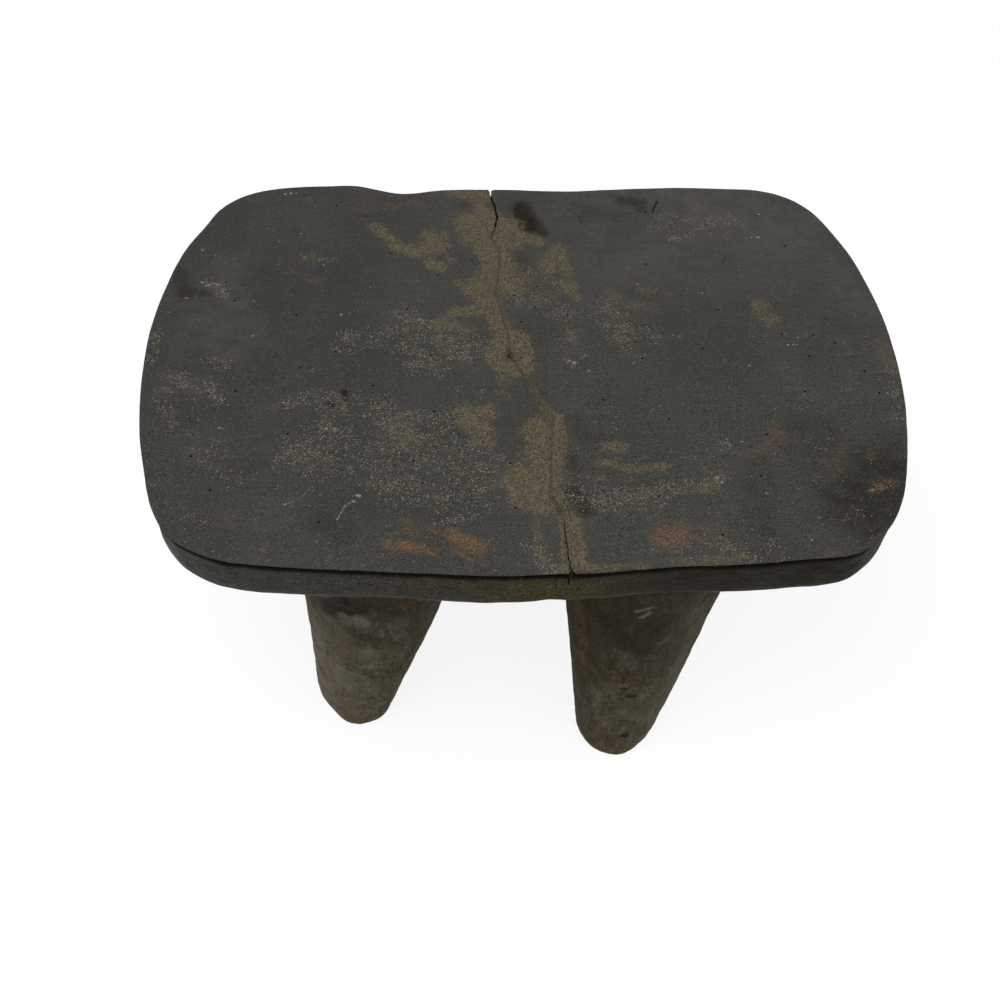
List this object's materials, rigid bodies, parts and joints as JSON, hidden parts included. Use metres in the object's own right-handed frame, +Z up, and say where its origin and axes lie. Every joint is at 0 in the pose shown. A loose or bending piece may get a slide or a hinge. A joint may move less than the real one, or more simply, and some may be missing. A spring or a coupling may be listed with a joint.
{
  "type": "carved wooden headrest",
  "caption": "Low carved wooden headrest or stool: a dished rounded-rectangle slab, cracked front to back, on leaning tapered legs.",
  "frame": {"origin": "on the floor below the middle of the seat, in the plane of the flat feet", "axes": "+Z up, +X along the length of the seat towards its right end, +Y to the rear, away from the viewer"},
  "size_m": [0.38, 0.2862, 0.1874],
  "materials": {
    "seat_wood": "dark, worn, satin",
    "leg_wood": "dark, adzed, dull",
    "filler": "olive brown, matt, crumbly"
  },
  "bodies": {
    "root": {"seat_left": "seat_wood", "seat_right": "seat_wood", "crack_filler": "filler", "leg_front_left": "leg_wood", "leg_front_right": "leg_wood", "leg_rear_left": "leg_wood", "leg_rear_right": "leg_wood"}
  },
  "joints": []
}
